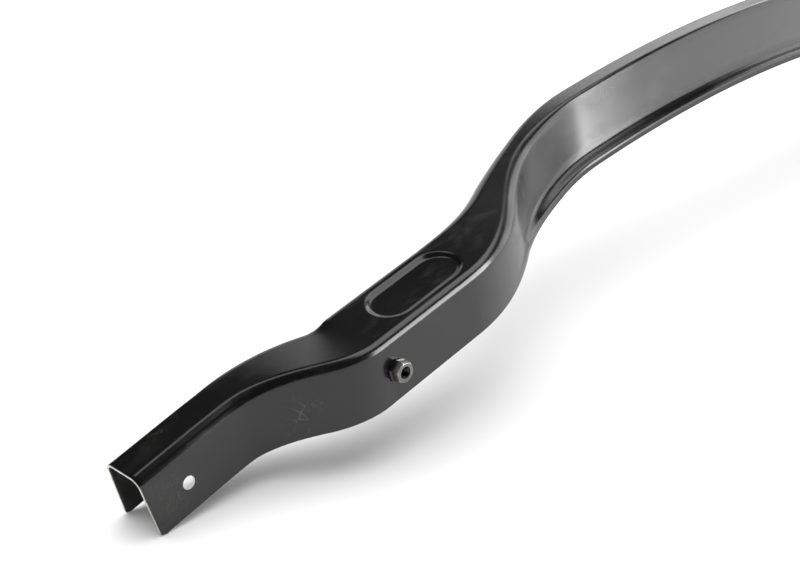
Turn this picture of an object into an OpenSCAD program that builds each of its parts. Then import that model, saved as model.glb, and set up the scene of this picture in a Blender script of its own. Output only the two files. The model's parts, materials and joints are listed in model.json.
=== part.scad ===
// Sway-bar brace pressed from one sheet of steel: a channel that is open underneath. From each end
// it climbs, jogs sideways to a seat with an oval recess and a hex weld nut, jogs back, and arches
// over the middle, where its walls splay and their lower edges turn out into lipped flanges.
// X runs along the bar, Z is up, and the two ends stand on Z = 0.

/* [Bar] */
// Overall length of the web, end cut to end cut
bar_l = 1430; // [1300:10:1700]
// Thickness of the sheet
sheet_t = 2; // [1.4:0.1:2.4]
// Climb of the end stretch, in degrees
end_climb = 16.6; // [10:0.2:20]
// Climb of the seat stretch, in degrees
seat_climb = 13.4; // [8:0.2:16]
// Length of the end stretch that climbs at end_climb
end_straight = 44; // [30:1:60]
// Distance from the end at which the climb starts to ease into the arch
arch_start = 352; // [330:1:420]

/* [Sideways jogs] */
// Sideways step from the end stretch to the seat
seat_step = 28; // [15:1:35]
// Where the step to the seat starts, measured from the end
seat_step_start = 77; // [65:1:90]
// Where the step to the seat is steepest
seat_step_mid = 136; // [115:1:138]
// Where the step to the seat ends
seat_step_end = 162; // [162:1:172]
// Sideways step from the seat to the middle span
span_step = 69; // [50:1:80]
// Where the step to the span starts
span_step_start = 247; // [240:1:260]
// Where the step to the span is steepest
span_step_mid = 327; // [315:1:345]
// Where the step to the span ends
span_step_end = 464; // [450:1:500]

/* [Section] */
// Width of the web at the ends, between the extended faces of the walls
web_end = 32; // [28:0.5:40]
// Width of the web at the seats
web_seat = 53; // [48:0.5:60]
// Width of the web in the middle span
web_span = 16; // [14:0.5:24]
// Height of the section at the ends and seats, square to the web
wall_h = 46; // [38:0.5:54]
// Height of the section in the middle span
span_h = 52; // [48:0.5:60]
// Draft of the walls at the ends and seats, in degrees
wall_draft = 3; // [2:0.2:6]
// Draft of the walls in the middle span, in degrees
span_draft = 14; // [8:0.2:20]
// Outer bend radius between web and wall at the ends
bend_end = 7.5; // [5:0.5:10]
// Outer bend radius at the seats
bend_seat = 6; // [5:0.5:8]
// Outer bend radius where the bar steps back to the span
bend_step = 12; // [6:0.5:12]
// Outer bend radius in the middle span
bend_span = 3.2; // [2.8:0.2:5]
// Radius of the rounded lower corners of the walls at the end cuts
corner_r = 3; // [2:0.5:5]

/* [Flange] */
// Flat width of the turned-out flange
flange_w = 3.5; // [2:0.5:6]
// Height of the turned-down lip below its bend
lip_h = 3.5; // [2:0.5:6]
// Bend radius of the flange and of the lip, on the convex side
flange_r = 2.8; // [2.6:0.2:4]
// Where the flange starts to grow, measured from the end
flange_start = 285; // [275:1:300]
// Where the flange has its full width
flange_full = 400; // [380:1:430]

/* [Recess] */
// Distance of the recess from the end, along the bar
recess_at = 220; // [215:1:225]
// Length of the recess floor
recess_l = 70; // [50:1:74]
// Width of the recess floor
recess_w = 28; // [20:1:30]
// Depth of the recess floor below the web
recess_d = 2.2; // [1.6:0.1:2.6]
// How far the sloping rim of the recess reaches past its floor
recess_rim = 3.5; // [2:0.5:4]

/* [Fixings] */
// Diameter of the bolt hole through both walls at each end
bolt_d = 9; // [6.6:0.1:11]
// Distance of the bolt hole from the end cut
bolt_at = 29; // [22:1:40]
// Depth of the bolt hole below the web
bolt_drop = 26; // [20:1:30]
// Distance of the weld nut from the end, along the bar
nut_at = 171; // [168:1:200]
// Depth of the weld nut below the web
nut_drop = 25; // [18:1:30]
// Width across the flats of the weld nut
nut_af = 13; // [10:0.5:17]
// Height of the weld nut above the wall
nut_h = 7; // [5:0.5:10]
// Minor diameter of the weld nut's thread
thread_d = 6.8; // [5:0.1:8.5]
// Diameter of the weld nut's round pilot
pilot_d = 10; // [9:0.1:12]
// Clearance round the pilot in the wall's hole
pilot_gap = 0.1; // [0.05:0.05:0.3]

/* [Hidden] */
$fn = 48;
half_l = bar_l / 2;
paint = [0.1, 0.1, 0.1];
bend_steps = 4;
fold_steps = 2;
flange_lean = 82;
lip_lean = 4;
headroom = 1;

// Distances from an end at which the bar has a section of its own
stations = concat(
    [0, 0.1 * corner_r, 0.4 * corner_r, corner_r, bolt_at / 2, bolt_at, end_straight, 60],
    [for (i = [0:9]) seat_step_start + i * (seat_step_end - seat_step_start) / 9],
    [for (i = [1:3]) seat_step_end + i * (span_step_start - seat_step_end) / 4],
    [for (i = [0:19]) span_step_start + i * (span_step_end - span_step_start) / 19],
    [for (i = [1:6]) span_step_end + i * (half_l - span_step_end) / 6]
);

// Slope of the bar against the distance from its end, seen from above and from the side
plan_slope = [
    [0, 0],
    [seat_step_start, 0],
    [seat_step_mid, -2 * seat_step / (seat_step_end - seat_step_start)],
    [seat_step_end, 0],
    [span_step_start, 0],
    [span_step_mid, 2 * span_step / (span_step_end - span_step_start)],
    [span_step_end, 0],
    [half_l, 0]
];
side_slope = [
    [0, tan(end_climb)],
    [end_straight, tan(end_climb)],
    [seat_step_start + 18, tan(seat_climb)],
    [arch_start, tan(seat_climb)],
    [half_l, 0]
];

// Area from 0 to t under the straight lines that join the knots
function area(t, knots, i = 0) =
    i > len(knots) - 2 || t <= knots[i][0] ? 0 :
    let (t1 = min(t, knots[i + 1][0]))
    (t1 - knots[i][0]) * (knots[i][1] + lookup(t1, knots)) / 2 + area(t, knots, i + 1);

// Smooth step from 0 at a to 1 at b
function ease(t, a, b) = let (s = min(1, max(0, (t - a) / (b - a)))) s * s * (3 - 2 * s);

// A size that changes from the end to the seat and again to the span
function along(t, at_end, at_seat, at_span) =
    at_end + (at_seat - at_end) * ease(t, seat_step_start - 11, seat_step_end)
    + (at_span - at_seat) * ease(t, span_step_start - 7, span_step_mid + 67);

function web_w(t) = along(t, web_end, web_seat, web_span);
function height(t) =
    along(t, wall_h, wall_h, span_h) - corner_r + sqrt(corner_r ^ 2 - max(0, corner_r - t) ^ 2);
function draft(t) = along(t, wall_draft, wall_draft, span_draft);
function turned(t) = ease(t, flange_start, flange_full);
function bend_r(t) =
    along(t, bend_end, bend_seat, bend_span)
    + (bend_step - bend_seat) * ease(t, span_step_start, span_step_mid)
    * (1 - ease(t, span_step_mid + 20, span_step_end));

// Frame of a station: along the bar, across it, up from the web, and the middle of the web.
// side is -1 for the left half and 1 for the right half.
function unit(v) = v / norm(v);
function ahead(t, side) = unit([1, -side * lookup(t, plan_slope), -side * lookup(t, side_slope)]);
function across(t, side) = unit([side * lookup(t, plan_slope), 1, 0]);
function upward(t, side) = cross(ahead(t, side), across(t, side));
function place(t, side) = [side * (half_l - t), area(t, plan_slope), area(t, side_slope)];

// Half of the section's outer face from the web to the lower edge. Each point is
// [distance from the middle, height, angle of the face's normal from straight out].
function half_face(t) =
    let (
        r = bend_r(t), d = draft(t), g = turned(t),
        f = d + g * (flange_lean - d), l = d + g * (lip_lean - d),
        fold_r = flange_r + sheet_t,
        drop = r * (1 - sin(d)) + (fold_r + flange_r) * sin(f) - fold_r * sin(d)
            - flange_r * sin(l) + flange_w * cos(f) + lip_h * cos(l),
        wall = (height(t) - drop) / cos(d),
        u0 = web_w(t) / 2 - r * tan((90 - d) / 2),
        p1 = [u0 + r * cos(d), -r * (1 - sin(d))],
        p2 = p1 + wall * [sin(d), -cos(d)],
        c2 = p2 + fold_r * [cos(d), sin(d)],
        p3 = c2 - fold_r * [cos(f), sin(f)],
        p4 = p3 + flange_w * [sin(f), -cos(f)],
        c4 = p4 - flange_r * [cos(f), sin(f)],
        p5 = c4 + flange_r * [cos(l), sin(l)],
        p6 = p5 + lip_h * [sin(l), -cos(l)]
    )
    concat(
        [for (i = [0:bend_steps]) let (a = 90 - i * (90 - d) / bend_steps)
            [u0 + r * cos(a), -r + r * sin(a), a]],
        [for (i = [0:fold_steps]) let (a = d + i * (f - d) / fold_steps)
            [c2[0] - fold_r * cos(a), c2[1] - fold_r * sin(a), a]],
        [for (i = [0:fold_steps]) let (a = f + i * (l - f) / fold_steps)
            [c4[0] + flange_r * cos(a), c4[1] + flange_r * sin(a), a]],
        [[p6[0], p6[1], l]]
    );

// Closed outline of the sheet at a station: the outer face across the bar, then the inner face back
function outline(t) =
    let (face = half_face(t), n = len(face),
        far = [for (p = face) [p[0], p[1]]],
        far_in = [for (p = face) [p[0] - sheet_t * cos(p[2]), p[1] - sheet_t * sin(p[2])]])
    concat(
        [for (i = [n - 1:-1:0]) [-far[i][0], far[i][1]]],
        far,
        [for (i = [n - 1:-1:0]) far_in[i]],
        [for (p = far_in) [-p[0], p[1]]]
    );

function ring(t, side) =
    let (p = place(t, side), y = across(t, side), z = upward(t, side))
    [for (q = outline(t)) p + q[0] * y + q[1] * z];

rings = concat(
    [for (t = stations) ring(t, -1)],
    [for (i = [len(stations) - 2:-1:0]) ring(stations[i], 1)]
);

// Frame of the near wall at a station, drop below the web: along, down, out of the wall, and place
function wall_out(t, side) = -cos(draft(t)) * across(t, side) + sin(draft(t)) * upward(t, side);
function wall_down(t, side) = -cos(draft(t)) * upward(t, side) - sin(draft(t)) * across(t, side);
function wall_place(t, side, drop) =
    place(t, side) - web_w(t) / 2 * across(t, side) + drop / cos(draft(t)) * wall_down(t, side);

// The part is moved so that its box stands on Z = 0 and is centred on X and Y
nut_tips = [for (side = [-1, 1]) for (a = [0:60:300])
    wall_place(nut_at, side, nut_drop) + nut_h * wall_out(nut_at, side)
    + nut_af / sqrt(3) * (sin(a) * ahead(nut_at, side) + cos(a) * wall_down(nut_at, side))];
all_y = concat([for (r = rings) for (p = r) p[1]], [for (p = nut_tips) p[1]]);
all_z = [for (r = rings) for (p = r) p[2]];
shift = [0, -(min(all_y) + max(all_y)) / 2, -min(all_z)];

// Puts children in a frame given by the directions of their X, Y and Z and their origin
module at_frame(x, y, z, p) {
    multmatrix([
        [x[0], y[0], z[0], p[0]],
        [x[1], y[1], z[1], p[1]],
        [x[2], y[2], z[2], p[2]],
        [0, 0, 0, 1]
    ]) children();
}

module on_web(t, side) {
    at_frame(ahead(t, side), across(t, side), upward(t, side), place(t, side)) children();
}

// Z points out of the near wall, X along the bar
module on_wall(t, side, drop) {
    x = ahead(t, side);
    z = wall_out(t, side);
    at_frame(x, cross(z, x), z, wall_place(t, side, drop)) children();
}

module sheet() {
    n = len(rings[0]);
    last = len(rings) - 1;
    polyhedron(
        points = [for (r = rings) for (p = r) p],
        faces = concat(
            [[for (i = [n - 1:-1:0]) i]],
            [for (k = [0:last - 1]) for (i = [0:n - 1])
                let (a = k * n + i, b = k * n + (i + 1) % n)
                each [[a, b, a + n], [b, b + n, a + n]]],
            [[for (i = [0:n - 1]) last * n + i]]
        )
    );
}

// Stadium with sloping sides, from z = 0 down to z = -depth
module tapered_slot(length, width, depth, slope) {
    reach = (length - width) / 2;
    hull() for (s = [-1, 1]) translate([s * reach, 0, -depth])
        cylinder(h = depth, r1 = width / 2, r2 = width / 2 + slope, $fn = 32);
}

module recess_pan(side) {
    on_web(recess_at, side) translate([0, 0, -sheet_t / 2])
        tapered_slot(recess_l + sheet_t, recess_w + sheet_t, recess_d + sheet_t / 2, recess_rim);
}

module recess_hollow(side) {
    on_web(recess_at, side) translate([0, 0, headroom]) tapered_slot(
        recess_l, recess_w, recess_d + headroom, recess_rim * (1 + headroom / recess_d)
    );
}

module bolt_hole(side) {
    on_web(bolt_at, side) translate([0, 0, -bolt_drop])
        rotate([90, 0, 0]) cylinder(h = 3 * web_end, d = bolt_d, center = true);
}

module pilot_hole(side) {
    on_wall(nut_at, side, nut_drop) cylinder(h = 6 * sheet_t, d = pilot_d + 2 * pilot_gap, center = true);
}

module channel() {
    color(paint) translate(shift) difference() {
        union() {
            sheet();
            for (side = [-1, 1]) recess_pan(side);
        }
        for (side = [-1, 1]) {
            recess_hollow(side);
            bolt_hole(side);
            pilot_hole(side);
        }
    }
}

module weld_nut(side) {
    color(paint) translate(shift) on_wall(nut_at, side, nut_drop) difference() {
        union() {
            intersection() {
                rotate(30) cylinder(h = nut_h, r = nut_af / sqrt(3), $fn = 6);
                rotate_extrude() polygon([
                    [0, 0], [nut_af * 0.56, 0], [nut_af * 0.6, 0.8],
                    [nut_af * 0.6, nut_h - 1], [nut_af * 0.48, nut_h], [0, nut_h]
                ]);
            }
            translate([0, 0, -sheet_t]) cylinder(h = sheet_t + 0.5, d = pilot_d);
        }
        cylinder(h = 4 * nut_h, d = thread_d, center = true);
    }
}

module weld_nut_left() { weld_nut(-1); }
module weld_nut_right() { weld_nut(1); }

channel();
weld_nut_left();
weld_nut_right();
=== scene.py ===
import json
import math

import bpy
import bmesh
from mathutils import Matrix, Vector


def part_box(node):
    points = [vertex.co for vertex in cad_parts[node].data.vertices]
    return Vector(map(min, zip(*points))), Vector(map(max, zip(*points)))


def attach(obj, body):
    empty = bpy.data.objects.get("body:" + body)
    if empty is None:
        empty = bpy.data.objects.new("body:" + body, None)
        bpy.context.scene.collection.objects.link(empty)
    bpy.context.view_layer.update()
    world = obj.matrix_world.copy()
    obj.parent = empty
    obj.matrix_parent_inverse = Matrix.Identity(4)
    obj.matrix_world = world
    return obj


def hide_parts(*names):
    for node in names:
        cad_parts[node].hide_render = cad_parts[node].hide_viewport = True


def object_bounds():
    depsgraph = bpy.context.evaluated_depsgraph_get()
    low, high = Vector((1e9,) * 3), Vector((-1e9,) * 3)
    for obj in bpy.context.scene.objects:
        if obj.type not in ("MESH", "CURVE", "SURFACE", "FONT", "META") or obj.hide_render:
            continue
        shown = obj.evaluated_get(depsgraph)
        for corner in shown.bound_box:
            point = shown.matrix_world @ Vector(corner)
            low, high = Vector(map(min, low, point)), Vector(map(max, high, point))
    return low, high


# Looks of a pressed steel channel bar: a swept sheet with recesses, bolt holes and weld nuts,
# in black paint on a pale studio floor. Lengths in the dictionaries are millimetres unless noted.

mm = 0.001
print("stage: frame")
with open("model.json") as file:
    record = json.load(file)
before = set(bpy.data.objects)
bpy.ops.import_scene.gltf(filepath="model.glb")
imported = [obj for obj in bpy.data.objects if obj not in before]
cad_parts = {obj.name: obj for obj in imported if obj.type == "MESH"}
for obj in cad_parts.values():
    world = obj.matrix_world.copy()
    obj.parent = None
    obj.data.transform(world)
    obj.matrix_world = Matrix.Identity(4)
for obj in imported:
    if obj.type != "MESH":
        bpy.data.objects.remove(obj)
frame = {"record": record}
startBounds = [list(corner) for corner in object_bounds()]
scene = bpy.context.scene


class Field:     # a value in a node tree, for ordinary arithmetic
    def __init__(self, tree, source):
        self.tree, self.source = tree, source

    def op(self, kind, *others, clamp=False):
        node = self.tree.nodes.new("ShaderNodeMath")
        node.operation, node.use_clamp = kind, clamp
        for slot, value in zip(node.inputs, (self,) + others):
            if isinstance(value, Field):
                self.tree.links.new(value.source, slot)
            else:
                slot.default_value = value
        return Field(self.tree, node.outputs[0])

    def __add__(self, o):
        return self.op("ADD", o)

    def __sub__(self, o):
        return self.op("SUBTRACT", o)

    def __rsub__(self, o):
        return (self * -1.0) + o

    def __mul__(self, o):
        return self.op("MULTIPLY", o)

    def __rmul__(self, o):
        return self.op("MULTIPLY", o)

    def __truediv__(self, o):
        return self.op("DIVIDE", o)

    def low(self, o):
        return self.op("MINIMUM", o)

    def high(self, o):
        return self.op("MAXIMUM", o)

    def sin(self):
        return self.op("SINE")

    def cos(self):
        return self.op("COSINE")

    def tan(self):
        return self.op("TANGENT")

    def root(self):
        return self.op("SQRT")

    def size(self):
        return self.op("ABSOLUTE")

    def whole(self):
        return self.op("ROUND")

    def unit(self):
        return self.op("MULTIPLY", 1.0, clamp=True)

    def over(self, o):
        return self.op("GREATER_THAN", o)


def ease(t, a, b):
    s = ((t - a) / (b - a)).unit()
    return s * s * (3.0 - 2.0 * s)


def newTree(name, sizes):     # geometry tree with a float input for each size
    tree = bpy.data.node_groups.new(name, "GeometryNodeTree")
    tree.interface.new_socket("Geometry", in_out="OUTPUT", socket_type="NodeSocketGeometry")
    for label, value in sizes.items():
        item = tree.interface.new_socket(label, in_out="INPUT", socket_type="NodeSocketFloat")
        item.default_value = value
    tree.interface.new_socket("Material", in_out="INPUT", socket_type="NodeSocketMaterial")
    entry = tree.nodes.new("NodeGroupInput")
    fields = {label: Field(tree, entry.outputs[label]) for label in sizes}
    return tree, entry, fields


def addNode(tree, kind, links=(), **values):
    node = tree.nodes.new(kind)
    for key, value in values.items():
        setattr(node, key, value)
    for slot, value in links:
        if isinstance(value, Field):
            tree.links.new(value.source, node.inputs[slot])
        elif isinstance(value, bpy.types.NodeSocket):
            tree.links.new(value, node.inputs[slot])
        else:
            node.inputs[slot].default_value = value
    return node


def vector(tree, x, y, z):
    node = addNode(tree, "ShaderNodeCombineXYZ", [("X", x), ("Y", y), ("Z", z)])
    return node.outputs[0]


def gridFields(tree, countX, countY):     # unit grid, with its row and column numbers
    grid = addNode(tree, "GeometryNodeMeshGrid", [("Size X", 1.0), ("Size Y", 1.0),
                   ("Vertices X", countX), ("Vertices Y", countY)])
    place = tree.nodes.new("GeometryNodeInputPosition")
    split = addNode(tree, "ShaderNodeSeparateXYZ", [("Vector", place.outputs[0])])
    row = ((Field(tree, split.outputs[0]) + 0.5) * float(countX - 1)).whole()
    col = ((Field(tree, split.outputs[1]) + 0.5) * float(countY - 1)).whole()
    return grid.outputs["Mesh"], row, col


def store(tree, mesh, name, field):
    node = addNode(tree, "GeometryNodeStoreNamedAttribute", [("Geometry", mesh), ("Name", name),
                   ("Value", field)], data_type="FLOAT", domain="POINT")
    return node.outputs[0]


def finishTree(tree, entry, mesh, place):     # moves the grid to its shape and joins its seams
    moved = addNode(tree, "GeometryNodeSetPosition", [("Geometry", mesh), ("Position", place)])
    merged = addNode(tree, "GeometryNodeMergeByDistance", [("Geometry", moved.outputs[0]),
                     ("Distance", 2e-6)])
    real = addNode(tree, "GeometryNodeRealizeInstances", [("Geometry", merged.outputs[0])])
    painted = addNode(tree, "GeometryNodeSetMaterial", [("Geometry", real.outputs[0]),
                      ("Material", entry.outputs["Material"])])
    out = tree.nodes.new("NodeGroupOutput")
    tree.links.new(painted.outputs[0], out.inputs[0])


def growMesh(name, tree, sizes, material):     # the tree's result as a plain mesh
    obj = bpy.data.objects.new(name, bpy.data.meshes.new(name + "Seed"))
    scene.collection.objects.link(obj)
    mod = obj.modifiers.new("Shape", "NODES")
    mod.node_group = tree
    for item in tree.interface.items_tree:
        if item.item_type == "SOCKET" and item.in_out == "INPUT":
            mod[item.identifier] = material if item.name == "Material" else float(sizes[item.name])
    graph = bpy.context.evaluated_depsgraph_get()
    mesh = bpy.data.meshes.new_from_object(obj.evaluated_get(graph))
    obj.modifiers.clear()
    obj.data = mesh
    mesh.name = name
    if not mesh.materials:
        mesh.materials.append(material)
    tidyNormals(mesh)
    return obj


def tidyNormals(mesh):
    work = bmesh.new()
    work.from_mesh(mesh)
    bmesh.ops.dissolve_degenerate(work, dist=1e-6, edges=work.edges)
    bmesh.ops.recalc_face_normals(work, faces=work.faces)
    for face in work.faces:
        face.smooth = True
    work.to_mesh(mesh)
    work.free()


def groupTree(name, inputs, outputs):
    tree = bpy.data.node_groups.new(name, "ShaderNodeTree")
    for label, value in inputs.items():
        item = tree.interface.new_socket(label, in_out="INPUT", socket_type="NodeSocketFloat")
        item.default_value = value
    for label in outputs:
        tree.interface.new_socket(label, in_out="OUTPUT", socket_type="NodeSocketFloat")
    return tree, tree.nodes.new("NodeGroupInput"), tree.nodes.new("NodeGroupOutput")


def noise(tree, coords, scale, detail=3.0, rough=0.55, stretch=None):
    if stretch is not None:
        mapping = addNode(tree, "ShaderNodeMapping", [("Vector", coords), ("Scale", stretch)])
        coords = mapping.outputs[0]
    node = addNode(tree, "ShaderNodeTexNoise", [("Vector", coords), ("Scale", scale),
                   ("Detail", detail), ("Roughness", rough)])
    return Field(tree, node.outputs["Fac"])


def mottleGroup():     # clouds in the film, orange peel and rubbed patches
    tree, entry, out = groupTree("Paint mottle", {"Cloud scale": 14.0, "Peel scale": 900.0,
                                                  "Rub scale": 30.0}, ["Cloud", "Peel", "Rub"])
    coords = tree.nodes.new("ShaderNodeTexCoord").outputs["Object"]
    cloud = noise(tree, coords, entry.outputs["Cloud scale"], 4.0, 0.6)
    peel = noise(tree, coords, entry.outputs["Peel scale"], 1.0, 0.4)
    rub = noise(tree, coords, entry.outputs["Rub scale"], 5.0, 0.65, (1.0, 2.2, 2.2))
    tree.links.new(cloud.source, out.inputs["Cloud"])
    tree.links.new(peel.source, out.inputs["Peel"])
    tree.links.new(((rub - 0.52) * 5.0).unit().source, out.inputs["Rub"])
    return tree


def scratchGroup():     # lines where a stretched noise crosses its middle value
    tree, entry, out = groupTree("Scratches", {"Scale": 70.0, "Width": 0.005, "Amount": 0.5},
                                 ["Mask"])
    coords = tree.nodes.new("ShaderNodeTexCoord").outputs["Object"]
    width = Field(tree, entry.outputs["Width"])
    total = None
    for turn, stretch in ((0.35, (0.25, 1.0, 3.0)), (-0.9, (0.3, 2.6, 1.0)), (1.3, (1.2, 1.0, 0.3))):
        turned = addNode(tree, "ShaderNodeMapping", [("Vector", coords), ("Rotation", (turn, 0.4, turn))])
        lines = noise(tree, turned.outputs[0], entry.outputs["Scale"], 0.0, 0.5, stretch)
        line = (1.0 - (lines - 0.5).size() / width).unit()
        total = line if total is None else total.high(line)
    where = noise(tree, coords, 17.0, 2.0, 0.5)
    amount = Field(tree, entry.outputs["Amount"])
    keep = ((where - (1.0 - amount)) * 9.0).unit()
    tree.links.new((total * keep).source, out.inputs["Mask"])
    return tree


def useGroup(tree, group, **values):
    node = tree.nodes.new("ShaderNodeGroup")
    node.node_tree = group
    for label, value in values.items():
        node.inputs[label.replace("_", " ")].default_value = value
    return {item.name: Field(tree, item) for item in node.outputs}


def mixColour(tree, fac, a, b):
    node = addNode(tree, "ShaderNodeMix", [("Factor", fac)], data_type="RGBA")
    for slot, value in ((node.inputs[6], a), (node.inputs[7], b)):
        if isinstance(value, bpy.types.NodeSocket):
            tree.links.new(value, slot)
        else:
            slot.default_value = (*value, 1.0)
    return node.outputs[2]


def attribute(tree, name):
    node = addNode(tree, "ShaderNodeAttribute", attribute_name=name)
    return Field(tree, node.outputs["Fac"])


paint = {
    "colour": (0.0048, 0.0049, 0.0052),      # deep film
    "warm": (0.012, 0.0105, 0.009),          # thin film on rubbed patches
    "steel": (0.62, 0.60, 0.57),            # bare cut edge
    "roughness": 0.20,
    "edge": (0.12, 0.115, 0.11),            # bottom of a scratch
    "scratched": 0.42,
    "bump": 0.08, "bumpDepth": 0.0006,      # depth in metres
}


def paintMaterial(name, look, mottle, scratches):
    material = bpy.data.materials.new(name)
    material.use_nodes = True
    tree = material.node_tree
    shader = tree.nodes["Principled BSDF"]
    film = useGroup(tree, mottle)
    lines = useGroup(tree, scratches, Amount=look["scratched"])["Mask"]
    colour = mixColour(tree, film["Rub"] * 0.8, look["colour"], look["warm"])
    colour = mixColour(tree, lines * 0.35, colour, look["edge"])
    rough = film["Cloud"] * 0.10 + (look["roughness"] - 0.05) + film["Rub"] * 0.08 + lines * 0.12
    cut = attribute(tree, "cut")
    grit = noise(tree, tree.nodes.new("ShaderNodeTexCoord").outputs["Object"], 260.0, 3.0, 0.7)
    bare = (cut * (grit * 1.3 + 0.25)).unit()       # steel where the paint has left the edge
    colour = mixColour(tree, bare, colour, look["steel"])
    rough = rough + bare * 0.08
    tree.links.new((bare * 0.9).source, shader.inputs["Metallic"])
    tree.links.new(colour, shader.inputs["Base Color"])
    tree.links.new(rough.source, shader.inputs["Roughness"])
    height = film["Peel"] * 0.5 + film["Cloud"] * 0.5 - lines * 0.6
    bump = addNode(tree, "ShaderNodeBump", [("Height", height), ("Strength", look["bump"]),
                   ("Distance", look["bumpDepth"])])
    tree.links.new(bump.outputs[0], shader.inputs["Normal"])
    return material


print("stage: materials")
mottle = mottleGroup()
scratches = scratchGroup()
channelPaint = paintMaterial("Channel paint", paint, mottle, scratches)
nutPaint = paintMaterial("Nut paint", dict(paint, roughness=0.26), mottle, scratches)

channelBox = [Vector(corner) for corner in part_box("channel")]
bar = {
    "Length": (channelBox[1].x - channelBox[0].x) / mm,
    "Sheet": 2.0,
    "End slope": math.tan(math.radians(16.6)),
    "Seat slope": math.tan(math.radians(13.4)),
    "End straight": 44.0, "Arch start": 352.0,
    "Seat step": 28.0, "Seat step start": 77.0, "Seat step mid": 136.0, "Seat step end": 162.0,
    "Span step": 69.0, "Span step start": 247.0, "Span step mid": 327.0, "Span step end": 464.0,
    "Web end": 32.0, "Web seat": 53.0, "Web span": 16.0,
    "Wall height": 46.0, "Span height": 52.0,
    "Wall draft": math.radians(3.0), "Span draft": math.radians(14.0),
    "Bend end": 7.5, "Bend seat": 6.0, "Bend step": 12.0, "Bend span": 3.2, "Corner": 3.0,
    "Flange": 3.5, "Lip": 3.5, "Flange bend": 2.8, "Flange start": 285.0, "Flange full": 400.0,
    "Flange lean": math.radians(82.0), "Lip lean": math.radians(4.0),
    "Recess at": 220.0, "Recess length": 70.0, "Recess width": 28.0, "Recess depth": 2.2,
    "Recess rim": 4.2,
}
sectionSteps = {"web": 18, "bend": 7, "wall": 8, "fold": 4, "flange": 2, "hem": 4, "lip": 2}
edgeSteps = 4
rows = {"end": 55, "recess": 92, "plain": 150}     # per half of the bar; plain counts end too
sweep = {
    "recessReach": 47.0,        # close rows this far each way from the recess
    "crisp": 0.35,              # first row in from the cut end
    "cutFill": 0.72, "cutBulge": 0.45,      # rounding of the sheet's cut edges
    "seatLead": 11.0, "spanLead": 7.0, "spanTrail": 67.0,       # where the section starts and ends its change
    "climbEase": 18.0, "bendEase": 20.0,
}


def along(t, b, atEnd, atSeat, atSpan):
    toSeat = ease(t, b["Seat step start"] - sweep["seatLead"], b["Seat step end"])
    toSpan = ease(t, b["Span step start"] - sweep["spanLead"],
                  b["Span step mid"] + sweep["spanTrail"])
    return atEnd + (atSeat - atEnd) * toSeat + (atSpan - atSeat) * toSpan


def knotted(t, knots):     # value at t, and area up to t, of the lines that join the knots
    value, total = knots[0][1], t * knots[0][1]
    for (t0, v0), (t1, v1) in zip(knots, knots[1:]):
        width = t1 - t0
        part = (t - t0).high(0.0).low(width)
        rise = v1 - v0
        value = part / width * rise + value
        total = total + rise * (part * part / (2.0 * width) + (t - t1).high(0.0))
    return value, total


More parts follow.
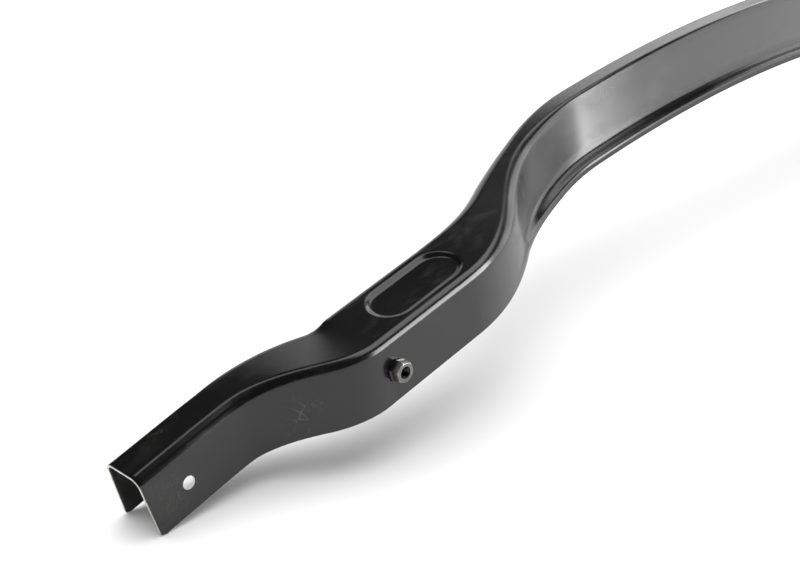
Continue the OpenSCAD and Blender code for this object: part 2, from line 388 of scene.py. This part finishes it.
def channelTree(sizes):
    tree, entry, b = newTree("Pressed channel", sizes)
    faceSteps = sum(sectionSteps.values())
    loop = 4 * faceSteps + 2 * edgeSteps
    halfRows = rows["recess"] + rows["plain"] + 2
    mesh, row, col = gridFields(tree, 2 * halfRows + 1, loop + 1)

    # distance t from the nearer end; the first rows close the cut end over the sheet's thickness
    near = row.low(2.0 * halfRows - row)
    side = (row.over(halfRows + 0.0)) * -2.0 + 1.0
    step = (near - 2.0).high(0.0)
    first = float(rows["end"])
    before = step.low(first)
    inside = (step - first).high(0.0).low(float(rows["recess"]))
    after = (step - (first + rows["recess"])).high(0.0)
    t0, t1 = b["Recess at"] - sweep["recessReach"], b["Recess at"] + sweep["recessReach"]
    half = b["Length"] / 2.0
    crisp = sweep["crisp"]
    t = (before * (t0 - crisp) / first + inside * (t1 - t0) / float(rows["recess"])
         + after * (half - t1) / (rows["plain"] - first) + crisp * (near / 2.0).op("FLOOR").unit())
    fill = near.op("COMPARE", 1.0, 0.1) * sweep["cutFill"] + near.over(1.5)

    # path
    zero = b["Length"] * 0.0
    planPeak1 = b["Seat step"] * -2.0 / (b["Seat step end"] - b["Seat step start"])
    planPeak2 = b["Span step"] * 2.0 / (b["Span step end"] - b["Span step start"])
    planSlope, planPlace = knotted(t, [
        (b["Seat step start"], zero), (b["Seat step mid"], planPeak1), (b["Seat step end"], zero),
        (b["Span step start"], zero), (b["Span step mid"], planPeak2), (b["Span step end"], zero)])
    sideSlope, sidePlace = knotted(t, [
        (b["End straight"], b["End slope"]), (b["Seat step start"] + sweep["climbEase"], b["Seat slope"]),
        (b["Arch start"], b["Seat slope"]), (half, zero)])
    flat = (planSlope * planSlope + 1.0).root()
    ahead = (planSlope * planSlope + sideSlope * sideSlope + 1.0).root()
    one = zero + 1.0
    lx, ly = planSlope * -1.0 / flat, one / flat
    tx, ty, tz = one / ahead, planSlope / ahead, sideSlope / ahead
    nx, ny, nz = zero - tz * ly, tz * lx, tx * ly - ty * lx

    # section sizes at this row
    w = along(t, b, b["Web end"], b["Web seat"], b["Web span"])
    h = along(t, b, b["Wall height"], b["Wall height"], b["Span height"])
    d = along(t, b, b["Wall draft"], b["Wall draft"], b["Span draft"])
    r = along(t, b, b["Bend end"], b["Bend seat"], b["Bend span"])
    swell = ease(t, b["Span step start"], b["Span step mid"]) * (
        1.0 - ease(t, b["Span step mid"] + sweep["bendEase"], b["Span step end"]))
    r = r + (b["Bend step"] - b["Bend seat"]) * swell
    g = ease(t, b["Flange start"], b["Flange full"])
    shortBy = (b["Corner"] - t).high(0.0)
    h = h - b["Corner"] + (b["Corner"] * b["Corner"] - shortBy * shortBy).high(0.0).root()
    f = d + g * (b["Flange lean"] - d)
    l = d + g * (b["Lip lean"] - d)
    foldR = b["Flange bend"] + b["Sheet"]
    drop = (r * (1.0 - d.sin()) + (foldR + b["Flange bend"]) * f.sin() - foldR * d.sin()
            - b["Flange bend"] * l.sin() + b["Flange"] * f.cos() + b["Lip"] * l.cos())
    wall = (h - drop) / d.cos()
    u0 = w / 2.0 - r * ((math.pi / 2 - d) / 2.0).tan()

    # where this vertex is round the sheet: outer face, cut edge, inner face
    fromStart = col.low(float(loop) - col)
    far = col.over(loop / 2.0) * 2.0 - 1.0
    p = fromStart.low(float(faceSteps)).low(2.0 * faceSteps + edgeSteps - fromStart)
    turn = ((fromStart - float(faceSteps)) / float(edgeSteps)).unit() * math.pi
    skin = turn.cos()
    bulge = turn.sin() * sweep["cutBulge"]
    q, start = {}, 0.0
    for name, count in sectionSteps.items():
        q[name] = ((p - start) / float(count)).unit()
        start += count
    a1 = math.pi / 2 - q["bend"] * (math.pi / 2 - d)
    a2 = d + q["fold"] * (f - d)
    a3 = f + q["hem"] * (l - f)
    lean = a1 + q["fold"] * (f - d) + q["hem"] * (l - f)
    bent = q["bend"].over(0.0001)
    reach, rise = wall * q["wall"], b["Flange"] * q["flange"]
    lip = b["Lip"] * q["lip"]
    u = (u0 * q["web"] + bent * r * a1.cos() + reach * d.sin() + foldR * (d.cos() - a2.cos())
         + rise * f.sin() + b["Flange bend"] * (a3.cos() - f.cos()) + lip * l.sin())
    z = (bent * r * (a1.sin() - 1.0) - reach * d.cos() + foldR * (d.sin() - a2.sin())
         - rise * f.cos() + b["Flange bend"] * (a3.sin() - f.sin()) - lip * l.cos())
    thick = b["Sheet"] / 2.0
    offset = thick * skin * fill - thick
    u = u + offset * lean.cos() + bulge * fill * lean.sin()
    z = z + offset * lean.sin() - bulge * fill * lean.cos()

    # oval recess
    run = ((t - b["Recess at"]) * (sideSlope * sideSlope + 1.0).root()).size()
    past = (run - (b["Recess length"] - b["Recess width"]) / 2.0).high(0.0)
    away = (past * past + u * u).root() - b["Recess width"] / 2.0
    z = z - b["Recess depth"] * (1.0 - ease(away, zero, b["Recess rim"]))

    u = u * far
    x = (t - half + u * lx + z * nx) * side
    y = planPlace + u * ly + z * ny
    height = sidePlace + z * nz
    place = vector(tree, x * mm, y * mm, height * mm)
    cut = (turn.sin() * 1.4 + (1.0 - near.over(1.5))).unit()
    mesh = store(tree, mesh, "cut", cut)
    finishTree(tree, entry, mesh, place)
    return tree


print("stage: channel")
channel = growMesh("channel_sheet", channelTree(bar), bar, channelPaint)


def moveVertices(obj, step):
    obj.data.transform(Matrix.Translation(step))


def cornersOf(obj):
    places = [v.co for v in obj.data.vertices]
    low = Vector([min(p[i] for p in places) for i in range(3)])
    high = Vector([max(p[i] for p in places) for i in range(3)])
    return low, high


low, high = cornersOf(channel)
step = (channelBox[0] + channelBox[1] - low - high) / 2.0
step.z = channelBox[0].z - low.z
moveVertices(channel, step)
print("channel size", high - low, "frame", channelBox[1] - channelBox[0], "moved", step)


def cylinderObject(name, centre, axis, radius, length, sides=64):
    mesh = bpy.data.meshes.new(name)
    work = bmesh.new()
    turn = axis.to_track_quat("Z", "Y").to_matrix().to_4x4()
    bmesh.ops.create_cone(work, cap_ends=True, segments=sides, radius1=radius, radius2=radius,
                          depth=length, matrix=Matrix.Translation(centre) @ turn)
    work.to_mesh(mesh)
    work.free()
    obj = bpy.data.objects.new(name, mesh)
    scene.collection.objects.link(obj)
    return obj


mounts = {m["name"]: m for m in frame["record"]["mounts"]}
fixings = {
    "pilotRadius": 5.1, "wallReach": 6.0, "boltReach": 44.0,
    "nutFlats": 13.0, "nutHeight": 7.0, "nutChamfer": 0.9, "pitch": 1.25, "threadDepth": 0.55,
    "beadRadius": 1.1, "threadMiddle": 2.5,      # middle of the thread, out from the wall
}


def drill(obj, cutters):
    for cutter in cutters:
        mod = obj.modifiers.new("Hole", "BOOLEAN")
        mod.operation, mod.solver, mod.object = "DIFFERENCE", "EXACT", cutter
    graph = bpy.context.evaluated_depsgraph_get()
    mesh = bpy.data.meshes.new_from_object(obj.evaluated_get(graph))
    obj.modifiers.clear()
    obj.data = mesh
    for cutter in cutters:
        bpy.data.objects.remove(cutter)
    return obj


def nutBase(mount):     # where the nut stands on the wall, and the way it points
    axis = Vector(mount["axis"]).normalized()
    return Vector(mount["pos_m"]) - axis * fixings["threadMiddle"] * mm, axis


cutters = []
for end in ("left", "right"):
    bolt = mounts["end_bolt_" + end]
    cutters.append(cylinderObject("Bolt cutter", Vector(bolt["pos_m"]), Vector(bolt["axis"]),
                                  bolt["dims"]["r_mm"] * mm, fixings["boltReach"] * mm))
    base, axis = nutBase(mounts["nut_thread_" + end])
    cutters.append(cylinderObject("Pilot cutter", base, axis, fixings["pilotRadius"] * mm,
                                  2 * fixings["wallReach"] * mm))
drill(channel, cutters)
channel.data.set_sharp_from_angle(angle=math.radians(38))
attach(channel, "root")
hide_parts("channel")

print("stage: nuts")


def threadTree(sizes):     # ridge that winds round the inside of the nut
    tree, entry, b = newTree("Thread", sizes)
    mesh, row, col = gridFields(tree, 73, 97)
    angle = row * (2 * math.pi / 72)
    z = col / 96.0 * b["Height"]
    phase = (z / b["Pitch"] - angle / (2 * math.pi)).op("FRACT")
    ridge = (phase * 2.0 - 1.0).size()
    mouth = (z / b["Lead in"]).unit() * ((b["Height"] - z) / b["Lead in"]).unit()
    radius = b["Radius"] + b["Depth"] * (1.0 - (1.0 - ridge) * mouth)
    place = vector(tree, radius * angle.cos() * mm, radius * angle.sin() * mm, z * mm)
    mesh = store(tree, mesh, "cut", ridge * 0.0)
    finishTree(tree, entry, mesh, place)
    return tree


def hexRadius(angle, flats):
    third = math.pi / 3
    within = (angle + third / 2) % third - third / 2
    return flats / 2 / math.cos(within)


def nutMesh(name, material):     # chamfered hexagon with a weld bead; Z points out of the wall
    f = fixings
    flats, top, cham = f["nutFlats"], f["nutHeight"], f["nutChamfer"]
    corner = flats / math.sqrt(3)
    outer = f["threadDepth"] + mounts["nut_thread_left"]["dims"]["r_mm"]
    bead = f["beadRadius"]
    around = 96
    rings = [(outer, 0.0, 0, 0), (outer, top - 0.5, 0, 0), (outer + 0.5, top, 0, 0.3)]
    rings += [(flats / 2 * 0.93, top, 0, 0.2), (flats / 2 * 0.99, top - 0.12, 0, 0.6)]
    rings += [(corner + 0.05, top - cham, 1, 0.2), (corner + 0.05, bead * 1.3, 1, 0)]
    beadSteps = 5
    rings += [(corner + bead * (0.15 + 0.75 * math.sin(i / beadSteps * math.pi / 2)),
               bead * 1.1 * math.cos(i / beadSteps * math.pi / 2), 2, 0) for i in range(beadSteps + 1)]
    mesh = bpy.data.meshes.new(name)
    work = bmesh.new()
    cut = work.verts.layers.float.new("cut")
    loops = []
    for radius, z, kind, bare in rings:
        loop = []
        for i in range(around):
            angle = 2 * math.pi * i / around
            limit = hexRadius(angle, flats)
            size = radius
            if kind == 1 or radius > flats / 2 * 0.98:
                size = min(radius, limit)
            if kind == 2:
                lump = 1 + 0.10 * math.sin(angle * 7 + 0.6) + 0.06 * math.sin(angle * 17)
                size = limit * 0.6 + corner * 0.4 + (radius - corner) * lump
            vert = work.verts.new((size * mm * math.cos(angle), size * mm * math.sin(angle), z * mm))
            vert[cut] = bare
            loop.append(vert)
        loops.append(loop)
    loops.append(loops[0])
    for inner, outerLoop in zip(loops, loops[1:]):
        for i in range(around):
            j = (i + 1) % around
            work.faces.new((inner[i], outerLoop[i], outerLoop[j], inner[j]))
    bmesh.ops.recalc_face_normals(work, faces=work.faces)
    for face in work.faces:
        face.smooth = True
    work.to_mesh(mesh)
    work.free()
    mesh.materials.append(material)
    return mesh


thread = {"Radius": mounts["nut_thread_left"]["dims"]["r_mm"], "Depth": fixings["threadDepth"],
          "Pitch": fixings["pitch"], "Height": fixings["nutHeight"] - 0.4, "Lead in": 0.8}
threadNodes = threadTree(thread)
for end in ("left", "right"):
    base, axis = nutBase(mounts["nut_thread_" + end])
    barWay = Vector((1.0, 0.0, math.copysign(bar["Seat slope"], 1 if end == "left" else -1)))
    xWay = (barWay - axis * barWay.dot(axis)).normalized()
    turn = Matrix((xWay, axis.cross(xWay), axis)).transposed().to_4x4()
    stand = Matrix.Translation(base) @ turn
    nut = bpy.data.objects.new("nut_" + end, nutMesh("nut_" + end, nutPaint))
    scene.collection.objects.link(nut)
    nut.data.transform(stand)
    nut.data.set_sharp_from_angle(angle=math.radians(28))
    tap = growMesh("thread_" + end, threadNodes, thread, nutPaint)
    tap.data.transform(stand)
    for piece in (nut, tap):
        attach(piece, "root")
    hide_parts("weld_nut_" + end)

print("stage: studio")
studio = {
    "world": 0.7, "key": 66.0,      # light the floor and the matt part of the paint
    "floor": (0.9, 0.9, 0.9), "floorSize": 60.0, "floorDrop": 0.0003,
    "floorRoughness": 0.9, "floorShine": 0.1,
}
softboxes = {       # place, what it faces, width, height, brightness
    "Front": ((0.14, -0.83, 0.36), (-0.5, -0.05, 0.36), 0.68, 0.8, 12.0),
    "Corner": ((1.25, -0.85, 0.5), (-0.1, -0.05, 0.3), 1.1, 1.2, 2.4),
    "Right": ((1.6, 0.15, 0.6), (-0.4, -0.05, 0.3), 1.3, 1.5, 2.3),
    "Back": ((0.75, 1.7, 0.65), (0.75, 0.0, 0.65), 1.3, 1.3, 1.2),
    "Back right": ((1.84, 1.15, 1.25), (-0.1, 0.0, 0.1), 1.7, 1.1, 2.3),
    "Above": ((0.3, -0.05, 1.7), (0.3, -0.05, 0.0), 1.3, 1.6, 2.8),
    "Above back": ((-0.58, 0.72, 1.7), (-0.58, 0.72, 0.0), 0.75, 0.45, 2.4),
}


def plane(name, size, centre, material):
    mesh = bpy.data.meshes.new(name)
    half = size / 2
    mesh.from_pydata([(centre[0] + sx * half, centre[1] + sy * half, centre[2])
                      for sx, sy in ((-1, -1), (1, -1), (1, 1), (-1, 1))], [], [(0, 1, 2, 3)])
    mesh.materials.append(material)
    obj = bpy.data.objects.new(name, mesh)
    scene.collection.objects.link(obj)
    return obj


floorPaint = bpy.data.materials.new("Studio floor")
floorPaint.use_nodes = True
floorShader = floorPaint.node_tree.nodes["Principled BSDF"]
floorShader.inputs["Base Color"].default_value = (*studio["floor"], 1.0)
floorShader.inputs["Roughness"].default_value = studio["floorRoughness"]
floorShader.inputs["Specular IOR Level"].default_value = studio["floorShine"]
floor = plane("Floor", studio["floorSize"], (0.0, 0.0, startBounds[0][2] - studio["floorDrop"]), floorPaint)

world = bpy.data.worlds.new("Studio")
scene.world = world
world.use_nodes = True
world.node_tree.nodes["Background"].inputs["Color"].default_value = (1.0, 1.0, 1.0, 1.0)
world.node_tree.nodes["Background"].inputs["Strength"].default_value = studio["world"]


def areaLight(name, place, target, sizeX, sizeY, power):
    data = bpy.data.lights.new(name, "AREA")
    data.shape, data.size, data.size_y, data.energy = "RECTANGLE", sizeX, sizeY, power
    obj = bpy.data.objects.new(name, data)
    obj.location = place
    obj.rotation_euler = (Vector(target) - Vector(place)).to_track_quat("-Z", "Y").to_euler()
    scene.collection.objects.link(obj)
    return obj


world.cycles_visibility.glossy = False      # only the softboxes show in the paint
key = areaLight("Key", (-0.25, 0.35, 2.0), (-0.25, 0.0, 0.0), 3.6, 3.2, studio["key"])
key.visible_glossy = False
for name, (place, target, width, height, brightness) in softboxes.items():
    box = areaLight(name, place, target, width, height, brightness * math.pi * width * height)
    box.visible_diffuse = False             # leaves the floor alone

print("stage: camera")
lens = {
    "pitch": math.radians(25.9),       # how far it looks down
    "heading": math.radians(45.74),     # between the bar and the picture's width
    "back": -0.4697, "aside": -0.6747, "height": 0.5534,   # metres from the left end's foot
    "focal": 71.87,
}
endLean = bar["Wall height"] * math.sin(math.atan(bar["End slope"])) * mm     # foot of the leaning end cut
foot = Vector((startBounds[0][0] + endLean, mounts["end_bolt_left"]["pos_m"][1], startBounds[0][2]))
cameraData = bpy.data.cameras.new("Camera")
cameraData.lens, cameraData.sensor_width = lens["focal"], 36.0
camera = bpy.data.objects.new("Camera", cameraData)
camera.location = foot + Vector((lens["back"], lens["aside"], lens["height"]))
camera.rotation_euler = (math.pi / 2 - lens["pitch"], 0.0, -lens["heading"])
scene.collection.objects.link(camera)
scene.camera = camera
scene.view_settings.view_transform = "Standard"
